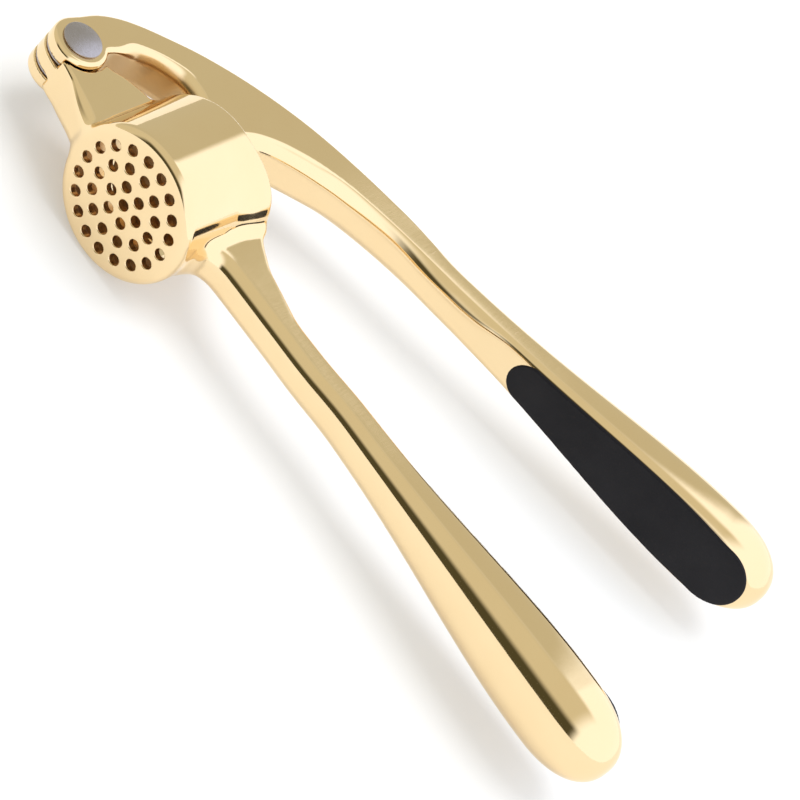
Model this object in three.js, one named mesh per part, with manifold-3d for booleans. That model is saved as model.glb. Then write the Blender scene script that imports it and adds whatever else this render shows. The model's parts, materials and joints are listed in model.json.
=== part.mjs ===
// A hand garlic press: two die-cast levers on one rivet, a perforated basket in the lower lever and a
// swinging plunger under the upper one. Millimetres, +Z up along the rivet, so the press lies on its side.
// It is posed part open; the origin is the middle of its bounding box's underside.
import * as THREE from "three";
import { mergeVertices } from "three/addons/utils/BufferGeometryUtils.js";
import Module from "manifold-3d";

const wasm = await Module();
wasm.setup();

// ---- driving dimensions ----
const restOpening = THREE.MathUtils.degToRad(19); // how far the press stands open, from closed

const basketRadius = 17.1; // outside
const basketWall = 1.7;
const basketDepth = 24.8; // sieve face to rim
const sieveThickness = 1.8;
const basketFootRound = 1.6; // outer edge of the sieve face
const lipRise = 1.2; // the rim stands higher and wider on the handle side
const lipFlare = 1.4;
const lipDepth = 8; // how far down the wall the flare starts
const holePitch = 4.2;
const holeDiameter = 2.5;
const holeRings = 3;

const pivotReach = 34.1; // rivet axis to basket axis, along the lower lever
const pivotLevel = 13.3; // rivet axis above the sieve face
const rivetShank = 5; // diameter
const rivetHead = 9; // diameter
const rivetDome = 1.3; // height of a head
const rivetFit = 0.3; // clearance round the shank and under the heads

const earRadius = 6.5;
const earStack = 12; // over both ears of the upper lever
const earGap = 0.5; // ear to the seat cut round it in the arm
const tongueThickness = 3.4;
const washerThickness = 0.5;
const sideGap = 0.25; // each side of a washer

const armThickness = 9.8;
const castRound = 1.2; // rounded edges of the castings

const handleLength = 115.6; // neck to tip of each handle, from 34 mm behind the basket axis
const handleStart = 34;
const handleHalfWidth = 9.9; // at its widest, across the press
const handleHalfDepth = 8.6; // in the plane of the levers
const neckHalfWidth = 4.9;
const neckHalfDepth = 4.3;
const handleTilt = THREE.MathUtils.degToRad(-4.4); // upper handle, when the press is closed

const padLength = 68;
const padFromTip = 4.4;
const padHalfWidth = 7.9;
const padEndDepth = 6.5; // of its blunt rounded end
const padStartHalfWidth = 4.6;
const padThickness = 1.9;
const padGap = 0.3; // round and under a grip pad
const padProud = 0.3;

const pinFromAxis = -0.5; // plunger pin, measured from the basket axis when closed
const pinRise = 9.9; // plunger pin above the rivet when closed
const pinDiameter = 3.2;
const pinFit = 0.3;
const pinEndSkin = 1.5; // metal left over the pin's blind end
const housingRadius = 5.5; // round the plunger pin
const plungerRadius = 13.6;
const plungerTaper = 0.55;
const plungerDisc = 3; // thickness
const plungerSeat = 0.5; // disc to sieve when closed
const stemHalfWidth = 3.9;
const stemThickness = 4.6;
const stemGap = 0.3; // each side of the stem in its slot
const stemRoof = 0.6; // over the stem's round top

const facets = 48; // round a full circle

// ---- materials ----
const gold = () => new THREE.MeshStandardMaterial({ color: 0xe3c88f, roughness: 0.12, metalness: 1 });
const steel = () => new THREE.MeshStandardMaterial({ color: 0xb9b3b6, roughness: 0.32, metalness: 1 });
const softBlack = () => new THREE.MeshStandardMaterial({ color: 0x2a272c, roughness: 0.7, metalness: 0 });

// ---- solids ----
function solid(geometry) {
  const bare = geometry.index ? geometry.toNonIndexed() : geometry.clone();
  bare.deleteAttribute("normal");
  bare.deleteAttribute("uv");
  const merged = mergeVertices(bare, 1e-4);
  return new wasm.Manifold(
    new wasm.Mesh({
      numProp: 3,
      vertProperties: merged.attributes.position.array,
      triVerts: new Uint32Array(merged.index.array),
    }),
  );
}

function piece(name, made, material) {
  const mesh = made.getMesh();
  const geometry = new THREE.BufferGeometry();
  geometry.setAttribute("position", new THREE.BufferAttribute(mesh.vertProperties, 3));
  geometry.setIndex(new THREE.BufferAttribute(mesh.triVerts, 1));
  const result = new THREE.Mesh(geometry.toNonIndexed(), material);
  result.geometry.computeVertexNormals();
  result.name = name;
  return result;
}

// An outline in the plane of the levers, thick across the press and centred on it; `thin` narrows it along X.
function slab(shape, thickness, round = 0, thin = () => 1) {
  const geometry = new THREE.ExtrudeGeometry(shape, {
    depth: thickness - 2 * round,
    bevelEnabled: round > 0,
    bevelThickness: round,
    bevelSize: round,
    bevelOffset: -round,
    bevelSegments: 3,
    curveSegments: 12,
  });
  geometry.translate(0, 0, round - thickness / 2);
  const at = geometry.attributes.position;
  for (let i = 0; i < at.count; i++) at.setZ(i, at.getZ(i) * thin(at.getX(i)));
  return solid(geometry);
}

// A round bar along Z from low to high.
function bar(x, y, radius, low, high, sides = facets) {
  const geometry = new THREE.CylinderGeometry(radius, radius, high - low, sides);
  return solid(geometry.rotateX(Math.PI / 2).translate(x, y, (low + high) / 2));
}

// A profile of [radius, height] points turned about Y at x.
function turned(profile, x, sides) {
  const points = profile.map(([r, h]) => new THREE.Vector2(r, h));
  return solid(new THREE.LatheGeometry(points, sides).translate(x, 0, 0));
}

function arcPoints(x, y, radius, from, to, steps) {
  const points = [];
  for (let i = 0; i <= steps; i++) {
    const a = THREE.MathUtils.degToRad(from + ((to - from) * i) / steps);
    points.push(new THREE.Vector2(x + radius * Math.cos(a), y + radius * Math.sin(a)));
  }
  return points;
}

function smooth(points, steps) {
  return new THREE.SplineCurve(points.map(([x, y]) => new THREE.Vector2(x, y))).getPoints(steps);
}

const step = (a, b, x) => THREE.MathUtils.smoothstep(x, a, b);
const mix = THREE.MathUtils.lerp;

// ---- handles, in a frame whose X runs from the neck to the tip and whose Y faces the other handle ----
const swellStart = 0.2 * handleLength;
const swellEnd = 0.84 * handleLength;
const tipLength = 16.5;
const flatShare = 0.67; // of the half depth: where the pad's flat lies

const swell = (x) => 0.3 * step(0, swellEnd, x) + 0.7 * step(swellStart, swellEnd, x) ** 1.35;
const tip = (x) => {
  const past = Math.max(0, (x - (handleLength - tipLength)) / tipLength);
  return Math.max(0.02, 1 - past ** 2.3) ** (1 / 2.3);
};
const halfWidthAt = (x) => mix(neckHalfWidth, handleHalfWidth, swell(x)) * tip(x);
const halfDepthAt = (x) => mix(neckHalfDepth, handleHalfDepth, swell(x)) * tip(x);
const flatShareAt = (x) => mix(1, flatShare, step(0.24 * handleLength, 0.36 * handleLength, x));
const flatAt = (x) => (halfDepthAt(x) / tip(x)) * flatShareAt(x);
const padEnd = handleLength - padFromTip;
const padStart = padEnd - padLength;
const padWide = padEnd - padEndDepth; // where it is widest
const padLevel = flatShare * handleHalfDepth; // the flat at the handle's widest

// Turns a unit cylinder into the handle: each ring of it becomes one section. Its neck can sit `drop` lower.
function handleSolid(drop) {
  const rings = 44;
  const geometry = new THREE.CylinderGeometry(1, 1, 1, 32, rings);
  const at = geometry.attributes.position;
  for (let i = 0; i < at.count; i++) {
    const t = at.getY(i) + 0.5;
    const x = handleLength * Math.sin((Math.PI / 2) * t ** 1.15);
    const reach = Math.hypot(at.getX(i), at.getZ(i));
    const angle = Math.atan2(at.getZ(i), at.getX(i));
    const power = 2 / mix(4, 2.6, step(0, 0.5 * handleLength, x));
    const c = Math.cos(angle);
    const s = Math.sin(angle);
    const across = reach * halfWidthAt(x) * Math.sign(c) * Math.abs(c) ** power;
    const depth = reach * halfDepthAt(x) * Math.sign(s) * Math.abs(s) ** power;
    const lowered = drop * (1 - step(swellStart / 3, swellStart + 4, x));
    at.setXYZ(i, x, Math.min(depth, flatAt(x)) - lowered, across);
  }
  return solid(geometry);
}

// The pad's plan, X along the handle, grown by `grow` on all sides.
function padPlan(grow) {
  const shape = new THREE.Shape();
  const startRadius = padStartHalfWidth + grow;
  const endRadius = padHalfWidth + grow;
  const first = padStart + padStartHalfWidth;
  const blunt = arcPoints(0, 0, 1, 94, -94, 18);
  const end = blunt.map((p) => new THREE.Vector2(padWide + (padEndDepth + grow) * p.x, endRadius * p.y));
  shape.setFromPoints([...arcPoints(first, 0, startRadius, 268, 92, 10), ...end]);
  return shape;
}

// A slab of the pad's plan that lies along the handle's flat; it slopes with the flat.
function padSlab(grow, low, high) {
  const geometry = new THREE.ExtrudeGeometry(padPlan(grow), { depth: high - low, bevelEnabled: false });
  geometry.rotateX(Math.PI / 2).translate(0, high, 0);
  const at = geometry.attributes.position;
  for (let i = 0; i < at.count; i++) at.setY(i, at.getY(i) + padSlope(at.getX(i)));
  return solid(geometry);
}
const padSlope = (x) => -padTilt * (padWide - x);
const padTilt = (padLevel - flatAt(padStart + 2)) / (padWide - padStart - 2);

function gripPad(name) {
  return piece(name, padSlab(0, padLevel + padProud - padThickness, padLevel + padProud), softBlack());
}

function handleWithSeat(drop) {
  const seat = padSlab(padGap, padLevel + padProud - padThickness - padGap, padLevel + 5);
  return handleSolid(drop).subtract(seat);
}

// Placement of a handle: where its neck starts, which way it runs and which side faces the other one.
function placed(x, y, turn, flip) {
  const m = new THREE.Matrix4().makeTranslation(x, y, 0);
  m.multiply(new THREE.Matrix4().makeRotationZ(turn));
  if (flip) m.multiply(new THREE.Matrix4().makeRotationX(Math.PI));
  return m.elements;
}

// ---- lower lever: tongue, arm, basket, neck and handle; basket axis along Y at X 0, sieve face at Y 0 ----
const pivot = new THREE.Vector2(-pivotReach, pivotLevel);
const lowerHandleY = 15.3;
const neckDrop = 1.3; // the lower neck's middle, below its handle's
const neckY = lowerHandleY - neckDrop;
const rim = basketDepth;

function armShape() {
  const deep = -basketRadius + basketWall;
  const shape = new THREE.Shape();
  shape.setFromPoints([
    ...arcPoints(pivot.x, pivot.y, earRadius, 28, 255, 22),
    new THREE.Vector2(pivot.x + 6.2, pivot.y - 7.7),
    new THREE.Vector2(-basketRadius, 1.6),
    new THREE.Vector2(deep, 1.6),
    new THREE.Vector2(deep, rim - 3),
    new THREE.Vector2(-basketRadius - 1.2, rim - 3.5),
    new THREE.Vector2(pivot.x + 10.3, pivot.y + 5.8),
    new THREE.Vector2(pivot.x + 7.4, pivot.y + 3.7),
  ]);
  return shape;
}

function neckShape() {
  const inside = basketRadius - basketWall - 0.6;
  const top = neckY + neckHalfDepth;
  const bottom = neckY - neckHalfDepth;
  const end = handleStart + 8;
  const between = (share) => mix(basketRadius + 1.2, handleStart, share);
  const lowerFlare = [
    [basketRadius + 0.2, bottom - 2.3],
    [basketRadius + 2, bottom - 0.6],
    [between(0.3), bottom],
  ];
  const upperFlare = [
    [handleStart, top],
    [between(0.62), top + 1.3],
    [between(0.24), top + 4.6],
    [basketRadius + 1.2, rim + 0.5],
  ];
  const shape = new THREE.Shape();
  shape.setFromPoints([
    new THREE.Vector2(inside, bottom - 3),
    ...smooth(lowerFlare, 5),
    new THREE.Vector2(end, bottom + 0.1),
    new THREE.Vector2(end, top + 0.1),
    ...smooth(upperFlare, 8),
    new THREE.Vector2(inside, rim + 0.3),
  ]);
  return shape;
}

function basketOutside() {
  const foot = arcPoints(basketRadius - basketFootRound, basketFootRound, basketFootRound, -90, 0, 4);
  const edge = arcPoints(basketRadius - 0.8, rim - 0.8, 0.8, 0, 90, 3);
  const wall = [basketRadius, rim - lipDepth];
  const middle = (height) => new THREE.Vector2(0, height);
  const outline = [middle(0), ...foot, new THREE.Vector2(...wall), ...edge, middle(rim)];
  const geometry = new THREE.LatheGeometry(outline, 64);
  const at = geometry.attributes.position;
  for (let i = 0; i < at.count; i++) {
    const angle = Math.abs(Math.atan2(at.getZ(i), at.getX(i)));
    const reach = Math.hypot(at.getX(i), at.getZ(i));
    const lip = (1 - step(0.6, 1.4, angle)) * step(0, basketRadius / 2, reach);
    const grow = 1 + (lip * lipFlare * step(rim - lipDepth, rim, at.getY(i))) / basketRadius;
    const rise = lip * lipRise * step(rim - lipDepth, rim, at.getY(i));
    at.setXYZ(i, at.getX(i) * grow, at.getY(i) + rise, at.getZ(i) * grow);
  }
  return solid(geometry);
}

function basketInside() {
  const bore = basketRadius - basketWall;
  const lead = 0.5; // chamfer at the mouth
  const profile = [
    [0, sieveThickness],
    [bore - 0.8, sieveThickness],
    [bore, sieveThickness + 0.8],
    [bore, rim - lead],
    [bore + lead, rim],
    [bore + lead, rim + 9],
    [0, rim + 9],
  ];
  return turned(profile, 0, 64);
}

function sieveHoles() {
  const holes = [];
  for (let ring = 0; ring <= holeRings; ring++) {
    const count = Math.max(1, 6 * ring);
    for (let i = 0; i < count; i++) {
      const angle = (2 * Math.PI * i) / count;
      const hole = new THREE.CylinderGeometry(holeDiameter / 2, holeDiameter / 2, 3 * sieveThickness, 12);
      hole.translate(ring * holePitch * Math.cos(angle), sieveThickness, ring * holePitch * Math.sin(angle));
      holes.push(solid(hole));
    }
  }
  return holes;
}

function basketLever() {
  let lever = basketOutside()
    .add(slab(armShape(), armThickness, castRound))
    .add(slab(neckShape(), armThickness, castRound))
    .add(handleWithSeat(neckDrop).transform(placed(handleStart, lowerHandleY, 0, false)));
  lever = lever.subtract(basketInside());
  for (const hole of sieveHoles()) lever = lever.subtract(hole);
  const seatRadius = earRadius + earGap;
  const half = tongueThickness / 2;
  for (const side of [-1, 1]) {
    const ends = [side * half, side * earStack].sort((a, b) => a - b);
    lever = lever.subtract(bar(pivot.x, pivot.y, seatRadius, ends[0], ends[1]));
  }
  lever = lever.subtract(bar(pivot.x, pivot.y, rivetShank / 2 + rivetFit, -earStack, earStack, 32));
  return piece("basket_lever", lever, gold());
}

// ---- upper lever, in a frame with the rivet at 0,0 and the press closed ----
const pinX = pivotReach + pinFromAxis;
const slotHalf = tongueThickness / 2 + washerThickness + 2 * sideGap;
const upperHandleX = pivotReach + handleStart + 1.5;
const upperHandleY = 25.2;
const webEnd = upperHandleX + 6;
const webThin = (x) => mix(1, (2 * neckHalfWidth) / earStack, step(pinX + 12, webEnd, x));

function webShape() {
  const endY = upperHandleY + (webEnd - upperHandleX) * Math.tan(handleTilt);
  const shape = new THREE.Shape();
  shape.setFromPoints([
    ...arcPoints(0, 0, earRadius, 30, -220, 24),
    ...smooth([[-3.6, 6.4], [-0.6, 10.9], [5.2, 15.6], [12.5, 19.4], [20.5, 22.8], [30.1, 25.7], [40.3, 27.7],
      [50.8, 28.8], [62, 29.2], [webEnd, endY + neckHalfDepth]], 26),
    ...smooth([[webEnd, endY - neckHalfDepth], [63, 20.1], [56.3, 18.6], [48.5, 16.4],
      [pinX + 9.4, pinRise + 3.6], [pinX + housingRadius + 0.8, pinRise]], 14),
    ...arcPoints(pinX, pinRise, housingRadius, -8, -172, 12),
    ...smooth([[pinX - housingRadius - 0.8, pinRise], [pinX - 8.4, pinRise + 2.2], [20.3, 12.9], [14.9, 11.8],
      [10.3, 9.6], [8.3, 6.9], [6.6, 4.9]], 16),
  ]);
  return shape;
}

function stemSlot() {
  const radius = stemHalfWidth + stemRoof;
  const shape = new THREE.Shape();
  shape.setFromPoints([
    ...arcPoints(pinX, pinRise, radius, 180, 0, 14),
    new THREE.Vector2(pinX + radius, -10),
    new THREE.Vector2(pinX - radius, -10),
  ]);
  return slab(shape, stemThickness + 2 * stemGap);
}

function plungerLever() {
  let lever = slab(webShape(), earStack, castRound + 0.4, webThin)
    .add(handleWithSeat(0).transform(placed(upperHandleX, upperHandleY, handleTilt, true)));
  lever = lever.subtract(bar(0, 0, earRadius + earGap, -slotHalf, slotHalf));
  lever = lever.subtract(bar(0, 0, rivetShank / 2 + rivetFit, -earStack, earStack, 32));
  lever = lever.subtract(stemSlot());
  const blind = earStack / 2 - pinEndSkin;
  lever = lever.subtract(bar(pinX, pinRise, pinDiameter / 2 + pinFit, -earStack, blind, 24));
  return piece("plunger_lever", lever, gold());
}

function plungerPin() {
  const end = earStack / 2 - pinEndSkin - pinFit;
  return piece("plunger_pin", bar(pinX, pinRise, pinDiameter / 2, -earStack / 2 + pinFit, end, 24), steel());
}

// ---- plunger, in the upper lever's frame ----
function plunger() {
  const bottom = sieveThickness + plungerSeat - pivotLevel;
  const top = bottom + plungerDisc;
  const rimRound = 0.5;
  const disc = turned(
    [
      [0, bottom],
      [plungerRadius - rimRound, bottom],
      [plungerRadius, bottom + rimRound],
      [plungerRadius - plungerTaper, top],
      [0, top + 0.6],
    ],
    pivotReach,
    56,
  );
  const shape = new THREE.Shape();
  shape.setFromPoints([
    new THREE.Vector2(pinX - stemHalfWidth, bottom + 1),
    new THREE.Vector2(pinX + stemHalfWidth, bottom + 1),
    ...arcPoints(pinX, pinRise, stemHalfWidth, 0, 180, 14),
  ]);
  const stem = slab(shape, stemThickness);
  const eye = bar(pinX, pinRise, pinDiameter / 2 + pinFit, -earStack, earStack, 24);
  return piece("plunger", disc.add(stem).subtract(eye), gold());
}

// ---- rivet and washers, at the pivot ----
function rivet() {
  const seat = earStack / 2 + rivetFit;
  const rimHeight = 0.4;
  const dome = rivetDome - rimHeight;
  const head = arcPoints(0, 0, rivetHead / 2, 0, 90, 6).map((p) => [
    p.x,
    seat + rimHeight + (2 * dome * p.y) / rivetHead,
  ]);
  const tail = head.map(([r, h]) => [0.9 * r, -h]).reverse();
  const shank = rivetShank / 2;
  const profile = [[0, tail[0][1]], ...tail.slice(1), [tail.at(-1)[0], -seat], [shank, -seat], [shank, seat],
    [rivetHead / 2, seat], ...head.slice(0, -1), [0, head.at(-1)[1]]];
  const points = profile.map(([r, h]) => new THREE.Vector2(Math.max(0, r), h));
  const made = solid(new THREE.LatheGeometry(points, 40).rotateX(Math.PI / 2));
  return piece("pivot_rivet", made, steel());
}

function washer(name, side) {
  const inner = tongueThickness / 2 + sideGap;
  const ends = [side * inner, side * (inner + washerThickness)].sort((a, b) => a - b);
  const ring = bar(0, 0, earRadius - 0.4, ends[0], ends[1]);
  return piece(name, ring.subtract(bar(0, 0, rivetShank / 2 + rivetFit, -earStack, earStack, 32)), steel());
}

// ---- assembly ----
const press = new THREE.Group();
const lower = new THREE.Group();
const upper = new THREE.Group();
press.add(lower);
lower.add(basketLever());

const lowerPad = gripPad("grip_pad_lower");
lowerPad.position.set(handleStart, lowerHandleY, 0);
lower.add(lowerPad);

upper.position.set(pivot.x, pivot.y, 0);
upper.rotation.z = restOpening;
lower.add(upper);
upper.add(plungerLever(), plungerPin(), plunger(), rivet());
upper.add(washer("pivot_washer_near", 1), washer("pivot_washer_far", -1));

const upperPad = gripPad("grip_pad_upper");
upperPad.position.set(upperHandleX, upperHandleY, 0);
upperPad.rotation.set(Math.PI, 0, handleTilt, "ZYX");
upper.add(upperPad);

const box = new THREE.Box3().setFromObject(press, true);
lower.position.set(-(box.min.x + box.max.x) / 2, -(box.min.y + box.max.y) / 2, -box.min.z);

export default press;
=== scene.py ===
import json
import math

import bpy
import numpy as np
from mathutils import Matrix, Vector


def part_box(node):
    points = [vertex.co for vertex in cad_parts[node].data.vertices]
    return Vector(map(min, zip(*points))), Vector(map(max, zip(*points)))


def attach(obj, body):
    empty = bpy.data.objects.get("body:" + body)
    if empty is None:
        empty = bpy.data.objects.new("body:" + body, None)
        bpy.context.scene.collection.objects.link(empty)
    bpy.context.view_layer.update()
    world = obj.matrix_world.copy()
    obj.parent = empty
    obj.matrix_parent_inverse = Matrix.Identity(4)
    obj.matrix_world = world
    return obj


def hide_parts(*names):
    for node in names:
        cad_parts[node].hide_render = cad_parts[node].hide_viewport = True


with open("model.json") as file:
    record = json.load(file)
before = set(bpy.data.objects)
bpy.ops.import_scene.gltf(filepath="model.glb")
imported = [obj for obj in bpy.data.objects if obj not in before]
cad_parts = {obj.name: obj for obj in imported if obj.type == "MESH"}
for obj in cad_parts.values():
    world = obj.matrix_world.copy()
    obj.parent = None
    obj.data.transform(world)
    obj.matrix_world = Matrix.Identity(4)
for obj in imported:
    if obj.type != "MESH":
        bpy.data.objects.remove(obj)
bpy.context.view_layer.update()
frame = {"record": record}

# Where things are.
# The basket frame: middle of the sieve face, X towards the handles, Y into the basket, Z along the rivet.
hinge = next(j for j in frame["record"]["behaviour"]["joints"] if j["name"] == "lever_hinge")
restAngle = -math.radians(hinge["range_deg"][0])
leverLow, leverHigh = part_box("basket_lever")
handleStart = 34.0
handleLength = 115.6
basketOrigin = np.array([
    leverHigh.x * 1000 - handleStart - handleLength,
    leverLow.y * 1000,
    (leverLow.z + leverHigh.z) * 500,
])
hingePlace = np.array(hinge["pos_m"]) * 1000
pivot = hingePlace - basketOrigin


# Distance fields.
def ramp(low, high, x):
    t = np.clip((x - low) / (high - low), 0, 1)
    return t * t * (3 - 2 * t)


def mix(a, b, t):
    return a + (b - a) * t


# Where two solids overlap, with the edge between them rounded.
def both(a, b, edge):
    return np.minimum(np.maximum(a, b), -edge) + np.hypot(np.maximum(a + edge, 0), np.maximum(b + edge, 0))


# Two solids joined by a fillet.
def either(a, b, fillet):
    return -both(-a, -b, fillet)


def without(a, b, edge):
    return both(a, -b, edge)


# A smooth curve through the points.
def spline(points, steps):
    p = np.array(points, float)
    p = np.vstack([2 * p[0] - p[1], p, 2 * p[-1] - p[-2]])
    made = []
    for a, b, c, d in zip(p[:-3], p[1:-2], p[2:-1], p[3:]):
        for t in np.linspace(0, 1, steps, endpoint=False):
            made.append(0.5 * (2 * b + (c - a) * t + (2 * a - 5 * b + 4 * c - d) * t * t
                               + (3 * b - a - 3 * c + d) * t ** 3))
    made.append(p[-2])
    return np.array(made)


def arc(x, y, radius, start, end, steps):
    a = np.radians(np.linspace(start, end, steps))
    return np.stack([x + radius * np.cos(a), y + radius * np.sin(a)], 1)


# The distance to a closed outline, sampled on a grid and slightly softened, as a function of x and y.
def plan(*parts, soft=0.5, margin=9.0, pitch=0.25):
    a = np.vstack(parts)
    b = np.roll(a, -1, 0)
    low = a.min(0) - margin
    size = np.ceil((a.max(0) + margin - low) / pitch).astype(int) + 1
    across, along = [low[k] + pitch * np.arange(size[k]) for k in (0, 1)]
    gx, gy = np.meshgrid(across, along, indexing="ij")
    best = np.full(gx.shape, 1e9)
    inside = np.zeros(gx.shape, bool)
    for (ax, ay), (bx, by) in zip(a, b):
        ex, ey = bx - ax, by - ay
        if ex * ex + ey * ey < 1e-12:
            continue
        t = np.clip(((gx - ax) * ex + (gy - ay) * ey) / (ex * ex + ey * ey), 0, 1)
        best = np.minimum(best, (gx - ax - t * ex) ** 2 + (gy - ay - t * ey) ** 2)
        if ey:
            inside ^= ((ay > gy) != (by > gy)) & (gx < ax + (gy - ay) * ex / ey)
    grid = np.where(inside, -1, 1) * np.sqrt(best)
    reach = int(math.ceil(3 * soft / pitch))
    weights = np.exp(-0.5 * (np.arange(-reach, reach + 1) * pitch / soft) ** 2)
    weights /= weights.sum()
    for axis in (0, 1):
        wide = np.pad(grid, [(reach, reach) if k == axis else (0, 0) for k in (0, 1)], mode="edge")
        grid = sum(w * np.take(wide, np.arange(grid.shape[axis]) + i, axis) for i, w in enumerate(weights))

    def at(x, y):
        u = np.clip((x - low[0]) / pitch, 0, size[0] - 1.001)
        v = np.clip((y - low[1]) / pitch, 0, size[1] - 1.001)
        i, j = u.astype(int), v.astype(int)
        u, v = u - i, v - j
        return ((grid[i, j] * (1 - u) + grid[i + 1, j] * u) * (1 - v)
                + (grid[i, j + 1] * (1 - u) + grid[i + 1, j + 1] * u) * v)

    return at


# Meshes a field: a coarse look finds the cells near its surface, and every point is then moved onto it.
# The last argument gives each point's share of painted shade, a darker brown colour, and of a rougher,
# unpolished finish.
def netMesh(name, field, low, high, cell, frameOf, paintedShade=None):
    low = np.array(low, float)
    coarse = 4
    blocks = np.ceil((np.array(high) - low) / (cell * coarse)).astype(int)
    count = blocks * coarse + 1

    def grid(step, shape):
        axes = [low[k] + step * np.arange(shape[k]) for k in range(3)]
        return np.stack(np.meshgrid(*axes, indexing="ij"), -1)

    rough = field(grid(cell * coarse, blocks + 1).reshape(-1, 3)).reshape(blocks + 1)
    near = np.abs(rough) < cell * coarse * 2.2
    near = np.repeat(np.repeat(np.repeat(near, coarse, 0), coarse, 1), coarse, 2)
    values = np.repeat(np.repeat(np.repeat(rough, coarse, 0), coarse, 1), coarse, 2)
    shift = coarse // 2
    near = near[shift:shift + count[0], shift:shift + count[1], shift:shift + count[2]]
    values = values[shift:shift + count[0], shift:shift + count[1], shift:shift + count[2]].copy()
    spots = np.argwhere(near)
    for part in np.array_split(np.arange(len(spots)), max(1, len(spots) // 400000)):
        where = spots[part]
        values[tuple(where.T)] = field(low + cell * where)

    inside = values < 0
    corner = inside.astype(np.int8)
    total = sum(corner[i:i + count[0] - 1, j:j + count[1] - 1, k:k + count[2] - 1]
                for i in (0, 1) for j in (0, 1) for k in (0, 1))
    active = (total > 0) & (total < 8)
    cells = np.argwhere(active)
    index = np.full(active.shape, -1)
    index[active] = np.arange(len(cells))
    summed = np.zeros((len(cells), 3))
    crossings = np.zeros(len(cells))
    for axis in range(3):
        step = np.eye(3, dtype=int)[axis]
        others = [np.eye(3, dtype=int)[k] for k in range(3) if k != axis]
        for m in (0, 1):
            for n in (0, 1):
                start = cells + m * others[0] + n * others[1]
                a = values[tuple(start.T)]
                b = values[tuple((start + step).T)]
                cross = (a < 0) != (b < 0)
                t = np.where(cross, a / np.where(cross, a - b, 1), 0)
                spot = (m * others[0] + n * others[1]) + t[:, None] * step
                summed += spot * cross[:, None]
                crossings += cross
    points = low + cell * (cells + summed / crossings[:, None])

    faces = []
    for axis in range(3):
        one, two = [(1, 2), (2, 0), (0, 1)][axis]
        step = np.eye(3, dtype=int)[axis]
        inner = [slice(1, count[k] - 1) for k in range(3)]
        first = inside[tuple(slice(0, count[k] - 1) if k == axis else inner[k] for k in range(3))]
        second = inside[tuple(slice(1, count[k]) if k == axis else inner[k] for k in range(3))]
        offset = np.array([0 if k == axis else 1 for k in range(3)])
        for flips, cross in ((False, first & ~second), (True, ~first & second)):
            e = np.argwhere(cross) + offset
            du, dv = np.eye(3, dtype=int)[one], np.eye(3, dtype=int)[two]
            around = [e - du - dv, e - dv, e, e - du]
            quad = np.stack([index[tuple(c.T)] for c in around], 1)
            faces.append(quad[:, ::-1] if flips else quad)
    faces = np.vstack(faces)

    def slope(p, h):
        return np.stack([field(p + h * d) - field(p - h * d) for d in np.eye(3)], 1) / (2 * h)

    for _ in range(3):
        g = slope(points, 0.05)
        move = field(points)[:, None] * g / np.maximum((g * g).sum(1), 0.2)[:, None]
        points -= np.clip(move, -cell / 2, cell / 2)
    normals = slope(points, 0.12)
    made = meshObject(name, points, faces, normals, frameOf)
    if paintedShade is not None:
        layer = made.data.attributes.new("paintedShade", "FLOAT", "POINT")
        layer.data.foreach_set("value", paintedShade(points).astype(np.float32))
    return made


def meshObject(name, points, faces, normals, frameOf):
    turn, place = frameOf
    points = (points @ turn.T + place) / 1000
    mesh = bpy.data.meshes.new(name)
    mesh.vertices.add(len(points))
    mesh.vertices.foreach_set("co", points.astype(np.float32).ravel())
    mesh.loops.add(faces.size)
    mesh.loops.foreach_set("vertex_index", faces.astype(np.int32).ravel())
    mesh.polygons.add(len(faces))
    mesh.polygons.foreach_set("loop_start", np.arange(0, faces.size, faces.shape[1], dtype=np.int32))
    mesh.update(calc_edges=True)
    mesh.validate()
    mesh.polygons.foreach_set("use_smooth", np.ones(len(mesh.polygons), bool))
    if normals is not None:
        n = normals @ turn.T
        n /= np.maximum(np.linalg.norm(n, axis=1), 1e-9)[:, None]
        mesh.normals_split_custom_set_from_vertices(n.astype(np.float32))
    made = bpy.data.objects.new(name, mesh)
    bpy.context.scene.collection.objects.link(made)
    return made


# A profile of (radius, height) points turned about Z.
def turnedMesh(name, profile, frameOf, sides=120, place=(0.0, 0.0)):
    profile = np.array(profile, float)
    a = np.linspace(0, 2 * math.pi, sides, endpoint=False)
    rings = [np.stack([place[0] + r * np.cos(a), place[1] + r * np.sin(a), np.full(sides, h)], 1)
             for r, h in profile]
    points = np.vstack(rings)
    faces = []
    for i in range(len(profile) - 1):
        for j in range(sides):
            k = (j + 1) % sides
            faces.append([i * sides + j, i * sides + k, (i + 1) * sides + k, (i + 1) * sides + j])
    return meshObject(name, points, np.array(faces), None, frameOf)


lowerFrame = (np.eye(3), basketOrigin)
restCos, restSin = math.cos(restAngle), math.sin(restAngle)
upperFrame = (np.array([[restCos, -restSin, 0], [restSin, restCos, 0], [0, 0, 1.0]]), hingePlace)

# Handles.
handle = {
    "neckHalfWidth": 4.9,
    "neckHalfDepth": 4.3,
    "halfWidth": 9.9,
    "halfDepth": 8.59,
    "tipLength": 16.5,
    "flatShare": 0.67,
    "roundness": 2.3,  # 2 is an ellipse, more is squarer
    "neckRoundness": 2.45,
    "neckEdge": 3.9,
    "tipRoundness": 2.3,
    "flatEdge": 0.7,
    "lowerY": 15.3,
    "neckDrop": 1.3,
    "upperX": -pivot[0] + handleStart + 1.5,
    "upperY": 25.2,
    "upperTilt": math.radians(-4.4),
}
insert = {"length": 68.0, "fromTip": 4.0, "halfWidth": 8.0, "margin": 0.05, "endDepth": 9.0,
          "thickness": 1.9, "proud": 0.3, "gap": 0.12, "crown": 0.1, "edge": 0.35,
          "endRoundness": 2.15}
swellStart, swellEnd = 0.2 * handleLength, 0.84 * handleLength
insertEnd = handleLength - insert["fromTip"]
insertStart = insertEnd - insert["length"]
insertWide = insertEnd - insert["endDepth"]
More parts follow.
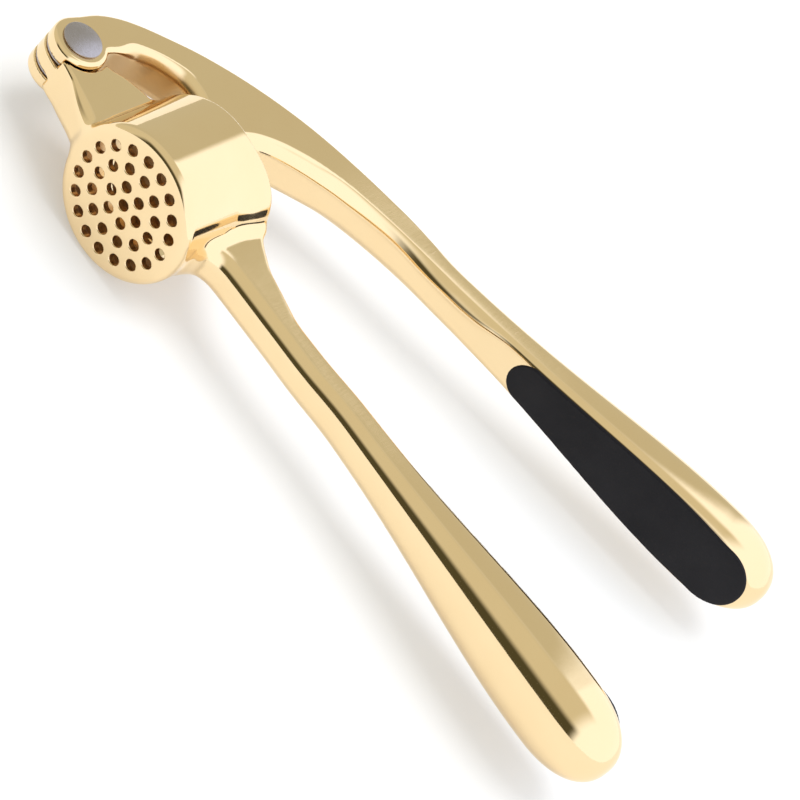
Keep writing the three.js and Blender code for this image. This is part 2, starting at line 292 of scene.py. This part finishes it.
insertLevel = handle["flatShare"] * handle["halfDepth"]


def swell(x):
    return 0.3 * ramp(0, swellEnd, x) + 0.7 * ramp(swellStart, swellEnd, x) ** 1.35


def depthAt(x):
    return mix(handle["neckHalfDepth"], handle["halfDepth"], swell(x))


def widthAt(x):
    return mix(handle["neckHalfWidth"], handle["halfWidth"], swell(x))


def powerAt(x):
    return mix(handle["neckRoundness"], handle["roundness"], ramp(0, 0.5 * handleLength, x))


# The flat eases into one straight plane where the insert lies.
def flatAt(x):
    eased = depthAt(x) * mix(1, handle["flatShare"], ramp(0.22 * handleLength, 0.38 * handleLength, x))
    plane = insertLevel - insertTilt * (insertWide - x)
    return mix(eased, plane, ramp(insertStart - 12, insertStart + 3, x))


insertTilt = (insertLevel - float(handle["flatShare"] * depthAt(np.array(insertStart + 2.0)))) / (
    insertWide - insertStart - 2)


def insertTop(x, z):
    return flatAt(x) - insert["crown"] * (z / insert["halfWidth"]) ** 2


def insertHalf(x):
    share = np.clip(flatAt(x) / depthAt(x), 0, 0.97)
    power = powerAt(x)
    return widthAt(x) * (1 - share ** power) ** (1 / power) - insert["margin"]


# The insert's outline: it widens towards the tip and ends bluntly.
def insertPlan(x, z):
    startHalf = float(insertHalf(np.array(insertStart + 4.0)))
    first = insertStart + startHalf
    half = insertHalf(np.clip(x, first, insertWide))
    back = np.minimum(x - first, 0) / startHalf
    front = np.maximum(x - insertWide, 0) / insert["endDepth"]
    end = np.maximum(-back, front)
    power = np.where(front > 0, insert["endRoundness"], 2.0)
    reach = (np.abs(z / half) ** power + end ** power) ** (1 / power)
    length = np.hypot(z, np.where(front > 0, x - insertWide, np.minimum(x - first, 0)))
    side = np.abs(z) - half
    return np.where(end > 0, length * (1 - 1 / np.maximum(reach, 0.05)), side)


# The grip with its flat; X runs from the neck to the tip, Y faces the other grip.
def handleField(x, y, z):
    start = handleLength - handle["tipLength"]
    depth, width, power = depthAt(x), widthAt(x), powerAt(x)
    past = np.maximum(x - start, 0)
    reach = (np.abs(y / depth) ** power + np.abs(z / width) ** power) ** (1 / power)
    tipPower = handle["tipRoundness"]
    reach = (reach ** tipPower + (past / handle["tipLength"]) ** tipPower) ** (1 / tipPower)
    length = np.sqrt(y * y + z * z + past * past)
    grip = length * (1 - 1 / np.maximum(reach, 0.05))
    return both(grip, y - flatAt(x), handle["flatEdge"])


def insertField(p):
    x, y, z = p.T
    half = (insert["thickness"] - insert["gap"] + insert["proud"]) / 2
    middle = insertTop(x, z) + insert["proud"] - half
    return both(insertPlan(x, z), np.abs(y - middle) - half, insert["edge"]) * 0.9


# The lower lever.
basket = {
    "radius": 17.1,
    "wall": 1.7,
    "depth": 24.8,
    "floor": 1.8,
    "footRound": 2.1,
    "rimRound": 0.9,
    "boreRound": 0.55,
    "lipRise": 1.2,
    "lipFlare": 1.4,
    "lipDepth": 9.0,
}
sieve = {"pitch": 4.2, "radius": 1.25, "rings": 3, "edge": 0.28}
hingeParts = {"earRadius": 6.5, "earHalf": 6.0, "tongueHalf": 1.7, "seatGap": 0.5, "shaftHole": 2.8}
radius, rim = basket["radius"], basket["depth"]
neckY = handle["lowerY"] - handle["neckDrop"]
neckTop, neckBottom = neckY + handle["neckHalfDepth"], neckY - handle["neckHalfDepth"]
armPlan = plan(
    arc(pivot[0], pivot[1], hingeParts["earRadius"], 28, 255, 90),
    spline([(pivot[0] + 6.2, pivot[1] - 7.7), (-23.5, 3.7), (-radius, 1.4)], 20),
    [(-radius + 3, 0.6), (-radius + 3, rim - 3.0)],
    spline([(-radius - 0.4, rim - 3.3), (-20.0, 20.8), (pivot[0] + 10.3, pivot[1] + 5.8),
            (pivot[0] + 7.4, pivot[1] + 3.7)], 16),
)
neckPlan = plan(
    [(radius - 3, neckBottom - 5)],
    spline([(radius - 0.2, neckBottom - 4.2), (radius + 1.7, neckBottom - 1.7),
            (radius + 4.3, neckBottom - 0.3), (radius + 8, neckBottom)], 14),
    [(62, neckBottom + 0.6), (62, neckTop + 1.2)],
    spline([(handleStart + 4, neckTop), (28.6, neckTop + 1.0), (24.0, neckTop + 3.0), (20.6, rim - 1.4),
            (radius + 1.5, rim + 0.9)], 16),
    [(radius - 3, rim + 0.9)],
)
sieveCentres = [(0.0, 0.0)]
for ring in range(1, sieve["rings"] + 1):
    for i in range(6 * ring):
        turn = 2 * math.pi * i / (6 * ring)
        sieveCentres.append((ring * sieve["pitch"] * math.cos(turn), ring * sieve["pitch"] * math.sin(turn)))


def basketField(x, y, z):
    reach = np.hypot(x, z)
    lip = 1 - ramp(0.55, 1.45, np.abs(np.arctan2(z, x)))
    flare = basket["lipFlare"] * lip * ramp(rim - basket["lipDepth"], rim + 1, y)
    side = reach - radius - flare
    top = y - rim - basket["lipRise"] * lip * ramp(4, 14, reach)
    return both(both(side, -y, basket["footRound"]), top, basket["rimRound"])


def lowerField(p):
    x, y, z = p.T
    deep = np.abs(z)
    armEdge = mix(1.1, mix(1.4, 3.2, ramp(13, 5, y)), ramp(pivot[0] + 4, -19, x))
    arm = both(armPlan(x, y), deep - handle["neckHalfWidth"], armEdge)
    rounder = np.maximum(ramp(neckY + 2, neckY - 1, y), ramp(28, 42, x))
    neck = both(neckPlan(x, y), deep - handle["neckHalfWidth"], mix(1.5, handle["neckEdge"], rounder))
    drop = handle["neckDrop"] * (1 - ramp(swellStart / 3, swellStart + 6, x - handleStart))
    grip = handleField(x - handleStart, y - handle["lowerY"] + drop, z)
    bar = mix(neck, grip, ramp(38, 58, x))
    solid = np.maximum(either(either(basketField(x, y, z), arm, 1.6), bar, 2.2), -y)
    reach = np.hypot(x, z)
    bore = both(reach - radius + basket["wall"], basket["floor"] - y, 0.8)
    solid = without(solid, bore, basket["boreRound"])
    low = (y < 4) & (reach < radius)
    hole = np.full(len(p), 9.0)
    if low.any():
        lx, lz = x[low], z[low]
        hole[low] = np.min([np.hypot(lx - cx, lz - cz) for cx, cz in sieveCentres], axis=0) - sieve["radius"]
    solid = without(solid, hole, sieve["edge"])
    toPivot = np.hypot(x - pivot[0], y - pivot[1])
    beyond = toPivot - hingeParts["earRadius"] - hingeParts["seatGap"]
    seat = both(beyond, hingeParts["tongueHalf"] - deep, 0.1)
    solid = without(solid, seat, 0.3)
    return without(solid, toPivot - hingeParts["shaftHole"], 0.2)


# The upper lever, closed, with the rivet at 0, 0.
plungerSize = {"pinX": -pivot[0] - 0.5, "pinY": 9.9, "radius": 13.6, "taper": 0.55, "disc": 3.0, "seat": 0.5,
               "stemHalf": 3.9, "stemHalfThick": 2.3, "slotGap": 0.3, "roof": 0.6, "pinRadius": 1.6,
               "pinGap": 0.3, "boss": 5.6}
pinX, pinY = plungerSize["pinX"], plungerSize["pinY"]
back = spline([(-3.9, 5.9), (-1.4, 10.0), (2.2, 13.6), (6.6, 16.5), (12.5, 19.4), (20.5, 22.8), (30.1, 25.7),
               (40.3, 27.7), (50.8, 28.8), (62, 29.2), (73.2, 28.9), (95, 27.6)], 12)
under = spline([(95, 19.9), (80, 20.9), (71, 20.9), (63, 20.1), (56.3, 18.5), (50.4, 16.7), (46.1, 15.0),
                (42.2, 12.6), (pinX + 6.2, 10.2)], 10)
arch = spline([(pinX - 6.2, 9.9), (pinX - 8.2, 11.6), (22.6, 12.7), (19.6, 12.9), (14.9, 11.8), (10.8, 9.4),
               (8.6, 7.0), (6.7, 4.8)], 10)
webPlan = plan(arc(0, 0, hingeParts["earRadius"], 30, -214, 90), back, under,
               arc(pinX, pinY, plungerSize["boss"], -12, -168, 40), arch, soft=0.45)
gripCos, gripSin = math.cos(handle["upperTilt"]), math.sin(handle["upperTilt"])


# Where the plunger's stem goes up between the cheeks of the lever.
def stemSlot(x, y, z):
    half = plungerSize["stemHalf"] + plungerSize["roof"]
    above = np.where(y > pinY, np.hypot(x - pinX, y - pinY), np.abs(x - pinX)) - half
    return np.maximum(above, np.abs(z) - plungerSize["stemHalfThick"] - plungerSize["slotGap"])


def upperField(p):
    x, y, z = p.T
    deep = np.abs(z)
    thick = mix(hingeParts["earHalf"], handle["neckHalfWidth"] + 0.2, ramp(44, 80, x))
    topAt = np.interp(x, back[:, 0], back[:, 1])
    lower = ramp(0.35, 0.8, (topAt - y) / 11.0) * ramp(8, 15, np.hypot(x, y))
    edge = mix(1.2, mix(3.4, handle["neckEdge"], ramp(48, 66, x)), lower)
    web = both(webPlan(x, y), deep - thick, edge)
    gx = (x - handle["upperX"]) * gripCos + (y - handle["upperY"]) * gripSin
    gy = (x - handle["upperX"]) * gripSin - (y - handle["upperY"]) * gripCos
    solid = mix(web, handleField(gx, gy, z), ramp(74, 94, x))
    reach = np.hypot(x, y)
    slotHalf = hingeParts["tongueHalf"] + 1.0
    slot = np.maximum(reach - hingeParts["earRadius"] - hingeParts["seatGap"], deep - slotHalf)
    solid = without(solid, slot, 0.3)
    solid = without(solid, reach - hingeParts["shaftHole"], 0.2)
    solid = without(solid, stemSlot(x, y, z), 0.3)
    around = np.hypot(x - pinX, y - pinY) - plungerSize["pinRadius"] - plungerSize["pinGap"]
    return without(solid, np.maximum(around, z - hingeParts["earHalf"] + 1.5), 0.2)


def plungerField(p):
    x, y, z = p.T
    bottom = basket["floor"] + plungerSize["seat"] - pivot[1]
    reach = np.hypot(x + pivot[0], z)
    lean = plungerSize["taper"] * np.clip((y - bottom) / plungerSize["disc"], 0, 1)
    disc = both(reach - plungerSize["radius"] + lean, np.abs(y - bottom - plungerSize["disc"] / 2)
                - plungerSize["disc"] / 2, 0.4)
    above = np.where(y > pinY, np.hypot(x - pinX, y - pinY), np.abs(x - pinX)) - plungerSize["stemHalf"]
    stem = both(both(above, np.abs(z) - plungerSize["stemHalfThick"], 0.4), bottom + 1 - y, 0.2)
    solid = either(disc, stem, 1.2)
    around = np.hypot(x - pinX, y - pinY) - plungerSize["pinRadius"] - plungerSize["pinGap"]
    return without(solid, around, 0.15)


cells = {"lower": 0.41, "upper": 0.38, "small": 0.4}  # size of the mesh, in millimetres


# Painted shade inside the basket: the bore, the sieve's inner face and the hole walls go darker brown,
# fading out 9 to 15 mm up.
def paintedShadeInBasket(p):
    x, y, z = p.T
    inside = ramp(radius - basket["wall"] + 0.5, radius - basket["wall"] + 0.2, np.hypot(x, z))
    return inside * ramp(0.2, 0.4, y) * ramp(15, 9, y)


# Painted shade under the upper lever's arch, between its cheeks near the rivet, at just over half strength.
def paintedShadeUnderArch(p):
    x, y, z = p.T
    low = ramp(3.0, 4.5, np.interp(x, back[:, 0], back[:, 1]) - y)
    return 0.55 * low * ramp(5.3, 4.5, np.abs(z)) * ramp(7.0, 9.0, np.hypot(x, y)) * ramp(34, 30, x)


lowerLever = netMesh("LowerLever", lowerField, (-42, -1.2, -18.6), (151, 29, 18.6), cells["lower"],
                     lowerFrame, paintedShadeInBasket)
print("lower lever:", len(lowerLever.data.polygons))
upperLever = netMesh("UpperLever", upperField, (-8, -8, -11), (187, 32, 11), cells["upper"], upperFrame,
                     paintedShadeUnderArch)
print("upper lever:", len(upperLever.data.polygons))
plungerPiece = netMesh("Plunger", plungerField, (18, -13, -15), (50, 16, 15), cells["small"], upperFrame)
lowerInsertFrame = (np.eye(3), basketOrigin + [handleStart, handle["lowerY"], 0])
flip = np.array([[gripCos, gripSin, 0], [gripSin, -gripCos, 0], [0, 0, -1.0]])
upperStart = [handle["upperX"], handle["upperY"], 0]
upperInsertFrame = (upperFrame[0] @ flip, upperFrame[0] @ upperStart + upperFrame[1])
inserts = [
    netMesh(name, insertField, (insertStart - 1, 1, -10), (insertEnd + 1, 8, 10), cells["small"], where)
    for name, where in (("LowerInsert", lowerInsertFrame), ("UpperInsert", upperInsertFrame))
]
print("plunger and inserts made")


# Rivet, washers and plunger pin.
# One rivet head, from its rim round to its middle.
def domed(radiusOf, foot, height, sign):
    rimHeight = 0.42 * height
    points = [(radiusOf - 0.12, foot), (radiusOf, foot + 0.1), (radiusOf, foot + rimHeight - 0.16),
              (radiusOf - 0.06, foot + rimHeight - 0.05), (radiusOf - 0.2, foot + rimHeight)]
    for t in np.linspace(0, 1, 12)[1:]:
        rise = (height - rimHeight) * (1 - (1 - t) ** 2)
        points.append(((radiusOf - 0.2) * (1 - t), foot + rimHeight + rise))
    return [(max(r, 1e-4), sign * h) for r, h in points]


rivetSize = {"head": 4.5, "tail": 4.05, "foot": 6.05, "dome": 1.15, "shank": 2.5}
topHead = domed(rivetSize["head"], rivetSize["foot"], rivetSize["dome"], 1)
underHead = domed(rivetSize["tail"], rivetSize["foot"], rivetSize["dome"], -1)[::-1]
shank = [(rivetSize["shank"], -rivetSize["foot"]), (rivetSize["shank"], rivetSize["foot"])]
rivet = turnedMesh("Rivet", underHead + shank + topHead, upperFrame)


def ringProfile(inner, outer, low, high, edge=0.08):
    return [(inner, low + edge), (inner + edge, low), (outer - edge, low), (outer, low + edge),
            (outer, high - edge), (outer - edge, high), (inner + edge, high), (inner, high - edge),
            (inner, low + edge)]


washerSize = {"inner": 1.95, "outer": 2.45, "radius": 6.1}  # its two faces, from the middle
washers = []
for name, side in (("NearWasher", 1), ("FarWasher", -1)):
    low, high = sorted((side * washerSize["inner"], side * washerSize["outer"]))
    profile = ringProfile(hingeParts["shaftHole"], washerSize["radius"], low, high)
    washers.append(turnedMesh(name, profile, upperFrame))
pinEnd = hingeParts["earHalf"] - 1.8
pin = turnedMesh("PlungerPin", [(1e-4, -5.7), (1.3, -5.7), (1.5, -5.6), (1.6, -5.4), (1.6, pinEnd - 0.2),
                                (1.4, pinEnd), (1e-4, pinEnd)], upperFrame, 64, (pinX, pinY))
print("rivet, washers and pin")


# Materials.
def material(name):
    made = bpy.data.materials.new(name)
    made.use_nodes = True
    tree = made.node_tree
    return made, tree, tree.nodes["Principled BSDF"]


# Adds a node; values go to its settings or its sockets by name, and links join sockets to it.
def node(tree, kind, links=None, **values):
    made = tree.nodes.new(kind)
    for key, value in values.items():
        if hasattr(made, key):
            setattr(made, key, value)
        else:
            made.inputs[key.replace("_", " ")].default_value = value
    for key, source in (links or {}).items():
        tree.links.new(source, made.inputs[key])
    return made


# Cloudy colour and polish with a fine grain, used by every finish.
def surfaceGroup():
    group = bpy.data.node_groups.new("surfaceGrain", "ShaderNodeTree")
    wanted = (("Vector", "Vector"), ("Cloud Scale", "Float"), ("Grain Scale", "Float"), ("Light", "Color"),
              ("Dark", "Color"), ("Smooth", "Float"), ("Rough", "Float"))
    for name, kind in wanted:
        group.interface.new_socket(name=name, in_out="INPUT", socket_type="NodeSocket" + kind)
    for name, kind in (("Color", "Color"), ("Roughness", "Float"), ("Grain", "Float")):
        group.interface.new_socket(name=name, in_out="OUTPUT", socket_type="NodeSocket" + kind)
    given = node(group, "NodeGroupInput").outputs
    cloud = node(group, "ShaderNodeTexNoise", {"Vector": given["Vector"], "Scale": given["Cloud Scale"]},
                 Detail=4.0)
    grain = node(group, "ShaderNodeTexNoise", {"Vector": given["Vector"], "Scale": given["Grain Scale"]},
                 Detail=3.0)
    tint = node(group, "ShaderNodeMix", {0: cloud.outputs["Fac"], 6: given["Light"], 7: given["Dark"]},
                data_type="RGBA")
    rough = node(group, "ShaderNodeMapRange",
                 {0: cloud.outputs["Fac"], 3: given["Smooth"], 4: given["Rough"]}, clamp=True)
    rough.inputs[1].default_value = 0.3
    rough.inputs[2].default_value = 0.7
    node(group, "NodeGroupOutput", {"Color": tint.outputs[2], "Roughness": rough.outputs[0],
                                    "Grain": grain.outputs["Fac"]})
    return group


surfaceGrain = surfaceGroup()


# Places the group in a material; look gives its values by name.
def surface(tree, vector, look):
    made = node(tree, "ShaderNodeGroup", node_tree=surfaceGrain)
    tree.links.new(vector, made.inputs["Vector"])
    for name, key in (("Cloud Scale", "cloud"), ("Grain Scale", "grain"), ("Light", "light"),
                      ("Dark", "dark"), ("Smooth", "smooth"), ("Rough", "rough")):
        made.inputs[name].default_value = look[key]
    return made.outputs


def goldMaterial():
    look = {
        "light": (0.91, 0.71, 0.425, 1),
        "dark": (0.88, 0.665, 0.38, 1),
        "inner": (0.66, 0.4, 0.17, 1),  # painted shade: a darker brown inside the basket and under the arch
        "innerRough": 0.42,
        "smooth": 0.045,
        "rough": 0.08,
        "brushed": 0.28,  # added on the brushed flats
        "cloud": 90.0,
        "grain": 240.0,
    }
    made, tree, shader = material("polished_gold")
    place = node(tree, "ShaderNodeTexCoord").outputs["Object"]
    plating = surface(tree, place, look)
    # The painted-shade weight mixes the plating towards the darker brown and the rougher finish.
    paintedShade = node(tree, "ShaderNodeAttribute", attribute_name="paintedShade").outputs["Fac"]
    paint = node(tree, "ShaderNodeMix", {0: paintedShade, 6: plating["Color"]}, data_type="RGBA")
    paint.inputs[7].default_value = look["inner"]
    tree.links.new(paint.outputs[2], shader.inputs["Base Color"])
    shader.inputs["Metallic"].default_value = 1.0
    # fine brushing across the flat sides, strongest along the neck
    lanes = node(tree, "ShaderNodeMapping", {"Vector": place})
    lanes.inputs["Scale"].default_value = (5200, 380, 380)
    brush = node(tree, "ShaderNodeTexNoise", {"Vector": lanes.outputs["Vector"]}, Scale=1.0, Detail=2.0)
    normal = node(tree, "ShaderNodeNewGeometry").outputs["Normal"]
    facing = node(tree, "ShaderNodeSeparateXYZ", {0: normal}).outputs["Z"]
    flat = node(tree, "ShaderNodeMapRange", {0: facing}, clamp=True)
    flat.inputs[1].default_value = 0.93
    flat.inputs[2].default_value = 0.995
    along = node(tree, "ShaderNodeSeparateXYZ", {0: place}).outputs["X"]
    fromNeck = node(tree, "ShaderNodeMath", {0: along}, operation="SUBTRACT")
    fromNeck.inputs[1].default_value = (basketOrigin[0] + 50) / 1000
    offNeck = node(tree, "ShaderNodeMath", {0: fromNeck.outputs[0]}, operation="ABSOLUTE")
    zone = node(tree, "ShaderNodeMapRange", {0: offNeck.outputs[0]}, clamp=True)
    zone.inputs[1].default_value = 0.038
    zone.inputs[2].default_value = 0.022
    mask = node(tree, "ShaderNodeMath", {0: flat.outputs[0], 1: zone.outputs[0]}, operation="MULTIPLY")
    strokes = node(tree, "ShaderNodeMath", {0: mask.outputs[0], 1: brush.outputs["Fac"]},
                   operation="MULTIPLY")
    rough = node(tree, "ShaderNodeMath", {0: strokes.outputs[0], 2: plating["Roughness"]},
                 operation="MULTIPLY_ADD")
    rough.inputs[1].default_value = look["brushed"]
    final = node(tree, "ShaderNodeMix", {0: paintedShade, 2: rough.outputs[0]}, data_type="FLOAT")
    final.inputs[3].default_value = look["innerRough"]
    tree.links.new(final.outputs[0], shader.inputs["Roughness"])
    soft = node(tree, "ShaderNodeBump", {"Height": plating["Grain"]}, Strength=0.03, Distance=0.0003)
    lines = node(tree, "ShaderNodeBump", {"Height": strokes.outputs[0], "Normal": soft.outputs[0]},
                 Strength=0.06, Distance=0.0001)
    tree.links.new(lines.outputs[0], shader.inputs["Normal"])
    return made


# A finish of one kind all over, with its strokes drawn out by stretch.
def plainMaterial(name, look, metallic, stretch=None):
    made, tree, shader = material(name)
    vector = node(tree, "ShaderNodeTexCoord").outputs["Object"]
    if stretch:
        lanes = node(tree, "ShaderNodeMapping", {"Vector": vector})
        lanes.inputs["Rotation"].default_value = (0, 0, math.radians(28))
        lanes.inputs["Scale"].default_value = stretch
        vector = lanes.outputs["Vector"]
    finish = surface(tree, vector, look)
    tree.links.new(finish["Color"], shader.inputs["Base Color"])
    tree.links.new(finish["Roughness"], shader.inputs["Roughness"])
    shader.inputs["Metallic"].default_value = metallic
    bumps = node(tree, "ShaderNodeBump", {"Height": finish["Grain"]}, Strength=look["bump"], Distance=0.0001)
    tree.links.new(bumps.outputs[0], shader.inputs["Normal"])
    return made, shader


def steelMaterial():
    look = {"light": (0.5, 0.462, 0.475, 1), "dark": (0.34, 0.31, 0.325, 1), "smooth": 0.22, "rough": 0.36,
            "cloud": 1.0, "grain": 1.0, "bump": 0.3}
    return plainMaterial("brushed_rivet", look, 1.0, (900, 14000, 900))[0]


def rubberMaterial():
    look = {"light": (0.0085, 0.0074, 0.0096, 1), "dark": (0.0055, 0.0048, 0.0064, 1), "smooth": 0.5,
            "rough": 0.62, "cloud": 130.0, "grain": 2600.0, "bump": 0.25}
    made, shader = plainMaterial("soft_insert", look, 0.0)
    shader.inputs["Specular IOR Level"].default_value = 0.22
    return made


# The plunger is plated but not polished, and its colour is darkened to a brown as painted shade, since it
# sits deep in the basket behind the sieve holes.
def plungerMaterial():
    look = {"light": (0.76, 0.52, 0.26, 1), "dark": (0.56, 0.35, 0.15, 1), "smooth": 0.34, "rough": 0.52,
            "cloud": 420.0, "grain": 2400.0, "bump": 0.3}
    return plainMaterial("plunger_dull_plating_and_shade", look, 1.0)[0]


gold, steel, rubber, plungerDullAndShade = goldMaterial(), steelMaterial(), rubberMaterial(), plungerMaterial()
print("finishes made")
pieces = [
    (lowerLever, gold, "basket_body", "basket_lever", "plated_casting"),
    (upperLever, gold, "handle_body", "plunger_lever", "plated_casting"),
    (plungerPiece, plungerDullAndShade, "plunger_body", "plunger", "plated_casting"),
    (rivet, steel, "handle_body", "pivot_rivet", "rivet_steel"),
    (pin, steel, "handle_body", "plunger_pin", "rivet_steel"),
    (washers[0], steel, "basket_body", "pivot_washer_near", "rivet_steel"),
    (washers[1], steel, "basket_body", "pivot_washer_far", "rivet_steel"),
    (inserts[0], rubber, "basket_body", "grip_pad_lower", "soft_insert"),
    (inserts[1], rubber, "handle_body", "grip_pad_upper", "soft_insert"),
]
for piece, finish, body, stoodFor, slotName in pieces:
    piece.data.materials.append(finish)
    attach(piece, body)
    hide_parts(stoodFor)

# Floor.
floorLook = {"half": 4.0, "colour": (0.66, 0.66, 0.67, 1), "glow": 0.26, "rough": 0.9, "shine": 0.1}
floorMesh = bpy.data.meshes.new("floor")
half = floorLook["half"]
corners = [(-half, -half, 0), (half, -half, 0), (half, half, 0), (-half, half, 0)]
floorMesh.from_pydata(corners, [], [(0, 1, 2, 3)])
floor = bpy.data.objects.new("floor", floorMesh)
bpy.context.scene.collection.objects.link(floor)
floorMaterial, floorTree, floorShader = material("studio_floor")
floorShader.inputs["Base Color"].default_value = floorLook["colour"]
floorShader.inputs["Emission Color"].default_value = (1, 1, 1, 1)
floorShader.inputs["Emission Strength"].default_value = floorLook["glow"]
floorShader.inputs["Roughness"].default_value = floorLook["rough"]
floorShader.inputs["Specular IOR Level"].default_value = floorLook["shine"]
floor.data.materials.append(floorMaterial)


# Surroundings: a bright room with one grey side and a dark strip low on the near side.
def makeWorld():
    look = {
        "side": (1.28, 1.36, 1.5, 1),  # large soft box on the handles' side
        "back": (0.63, 0.62, 0.52, 1),  # duller wall behind
        "roof": (0.74, 0.72, 0.6, 1),
        "dark": (0.085, 0.08, 0.044, 1),  # unlit room in front, above the table's edge
        "table": (1.0, 1.0, 0.97, 1),
    }
    world = bpy.data.worlds.new("studio")
    bpy.context.scene.world = world
    world.use_nodes = True
    tree = world.node_tree
    background = tree.nodes["Background"]
    toward = node(tree, "ShaderNodeTexCoord").outputs["Generated"]
    x, y, z = node(tree, "ShaderNodeSeparateXYZ", {0: toward}).outputs

    def band(source, low, high):
        made = node(tree, "ShaderNodeMapRange", {0: source}, clamp=True, interpolation_type="SMOOTHSTEP")
        made.inputs[1].default_value = low
        made.inputs[2].default_value = high
        return made.outputs[0]

    def times(a, b):
        return node(tree, "ShaderNodeMath", {0: a, 1: b}, operation="MULTIPLY").outputs[0]

    def blendTo(start, value, mask):
        made = node(tree, "ShaderNodeMix", {0: mask}, data_type="RGBA")
        for socket, given in ((6, start), (7, value)):
            if hasattr(given, "links"):
                tree.links.new(given, made.inputs[socket])
            else:
                made.inputs[socket].default_value = given
        return made.outputs[2]

    shade = blendTo(look["side"], look["roof"], times(band(x, 0.4, 0.1), band(y, 0.35, 0.1)))
    shade = blendTo(shade, look["back"], times(band(x, -0.05, -0.16), band(y, 0.0, 0.3)))
    front = times(band(y, -0.2, -0.45), times(band(x, 0.42, 0.2), band(x, -0.75, -0.5)))
    shade = blendTo(shade, look["dark"], times(front, band(z, 0.64, 0.34)))
    shade = blendTo(shade, look["table"], band(z, -0.02, -0.05))
    seen = node(tree, "ShaderNodeLightPath").outputs["Is Camera Ray"]
    final = node(tree, "ShaderNodeMix", {0: seen, 6: shade}, data_type="RGBA")
    final.inputs[7].default_value = (1, 1, 1, 1)
    tree.links.new(final.outputs[2], background.inputs["Color"])


makeWorld()
keyLook = {"azimuth": 78.0, "elevation": 80.0, "spread": 40.0, "power": 1.4}
keyData = bpy.data.lights.new("key", "SUN")
keyData.energy = keyLook["power"]
keyData.angle = math.radians(keyLook["spread"])
key = bpy.data.objects.new("key", keyData)
key.rotation_euler = (math.radians(90 - keyLook["elevation"]), 0, math.radians(keyLook["azimuth"] + 90))
key.visible_glossy = False
bpy.context.scene.collection.objects.link(key)
print("world and key light")

# Camera.
view = {"azimuth": -78.257, "elevation": 40.266, "roll": 45.744, "distance": 1.0, "lens": 225.0,
        "sensor": 36.0, "aim": (66.019, 13.012, 17.268)}
azimuth, elevation = math.radians(view["azimuth"]), math.radians(view["elevation"])
outward = Vector((math.cos(azimuth) * math.cos(elevation), math.sin(azimuth) * math.cos(elevation),
                  math.sin(elevation)))
aim = Vector((basketOrigin + view["aim"]) / 1000)
right = (-outward).cross(Vector((0, 0, 1))).normalized()
upward = outward.cross(right)
turned = math.radians(view["roll"])
cameraX = right * math.cos(turned) + upward * math.sin(turned)
cameraY = outward.cross(cameraX)
cameraData = bpy.data.cameras.new("camera")
cameraData.lens = view["lens"]
cameraData.sensor_width = view["sensor"]
camera = bpy.data.objects.new("camera", cameraData)
bpy.context.scene.collection.objects.link(camera)
camera.matrix_world = Matrix((
    (cameraX.x, cameraY.x, outward.x, aim.x + outward.x * view["distance"]),
    (cameraX.y, cameraY.y, outward.y, aim.y + outward.y * view["distance"]),
    (cameraX.z, cameraY.z, outward.z, aim.z + outward.z * view["distance"]),
    (0, 0, 0, 1),
))
bpy.context.scene.camera = camera
print("camera set")
bpy.context.scene.view_settings.view_transform = "Standard"
